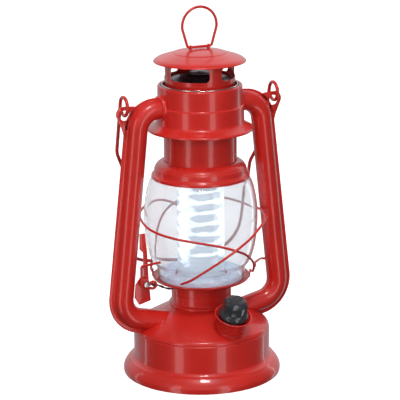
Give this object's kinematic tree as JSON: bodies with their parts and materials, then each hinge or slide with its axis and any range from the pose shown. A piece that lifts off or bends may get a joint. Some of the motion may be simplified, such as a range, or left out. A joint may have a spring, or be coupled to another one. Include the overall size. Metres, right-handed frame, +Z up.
{
  "type": "battery hurricane lantern",
  "caption": "Red enamelled hurricane lantern styled as an oil lamp, with a clear globe, an LED column, side tubes, bail handle, lift lever and dimmer knob",
  "frame": {"origin": "centre of the round base, on the surface that the lantern stands on", "axes": "+Z up, +X along the side tubes, -Y towards the dimmer knob"},
  "size_m": [0.1286, 0.102, 0.2387],
  "materials": {
    "red_enamel": "glossy red enamel on pressed steel and wire",
    "black_plastic": "moulded, satin",
    "dark_wire": "dark painted steel wire",
    "bare_steel": "bare bright steel",
    "cell_wrap": "plain foil wrap, no label",
    "grey_plastic": "moulded",
    "knob_plastic": "black, semi-gloss",
    "white_plastic": "moulded",
    "led_diffuser": "frosted, ribbed, cool white light",
    "led_board_white": "white solder mask with clear lamps",
    "clear_globe": "clear moulded globe, gloss"
  },
  "bodies": {
    "root": {"base_plate": "black_plastic", "battery_1": "cell_wrap", "battery_2": "cell_wrap", "battery_3": "cell_wrap", "battery_4": "cell_wrap", "battery_box": "black_plastic", "battery_door": "black_plastic", "contact_plate_front": "bare_steel", "contact_plate_rear": "bare_steel", "crown": "red_enamel", "crown_ring": "bare_steel", "diffuser_cap": "white_plastic", "diffuser_tube": "led_diffuser", "dimmer_pot": "grey_plastic", "door_screw": "bare_steel", "filler_cup": "red_enamel", "led_base": "white_plastic", "led_board_1": "led_board_white", "led_board_2": "led_board_white", "led_board_3": "led_board_white", "lever_bracket": "red_enamel", "lever_pivot": "bare_steel", "neck_collar": "red_enamel", "side_tube_left": "red_enamel", "side_tube_right": "red_enamel", "tank_shell": "red_enamel"},
    "globe_carriage": {"gallery": "red_enamel", "lift_link": "dark_wire", "guard_wire_right": "red_enamel", "guard_wire_left": "red_enamel", "guard_guide": "red_enamel", "globe": "clear_globe"},
    "chimney": {"chimney_tube": "red_enamel", "globe_cap": "red_enamel", "vent_collar": "red_enamel", "hood": "red_enamel"},
    "ring": {"finger_ring": "red_enamel"},
    "bail": {"bail_handle": "red_enamel"},
    "lever": {"lift_lever": "red_enamel"},
    "knob": {"dimmer_knob": "knob_plastic"}
  },
  "joints": [
    {"name": "globe_lift", "type": "slide", "parent": "root", "child": "globe_carriage", "axis": [0, 0, 1], "range_m": [0, 0.0043]},
    {"name": "chimney_lift", "type": "slide", "parent": "globe_carriage", "child": "chimney", "axis": [0, 0, 1], "range_m": [0, 0.008]},
    {"name": "ring_swing", "type": "hinge", "parent": "chimney", "child": "ring", "pos_m": [0, 0, 0.2129], "axis": [1, 0, 0], "range_deg": [-85, 85]},
    {"name": "bail_swing", "type": "hinge", "parent": "root", "child": "bail", "pos_m": [0, 0, 0.1796], "axis": [1, 0, 0], "range_deg": [0, 275]},
    {"name": "lever_lift", "type": "hinge", "parent": "root", "child": "lever", "pos_m": [-0.0427, -0.0084, 0.0654], "axis": [0, -1, 0], "range_deg": [0, 40]},
    {"name": "dimmer_turn", "type": "hinge", "parent": "root", "child": "knob", "pos_m": [0.00365, -0.03471, 0.0364], "axis": [0.0381, -0.3629, 0.9311], "range_deg": [0, 300]}
  ],
  "couplings": [
    {"joint": "lever_lift", "follows": "globe_lift", "rad_per_m": 162.35}
  ]
}
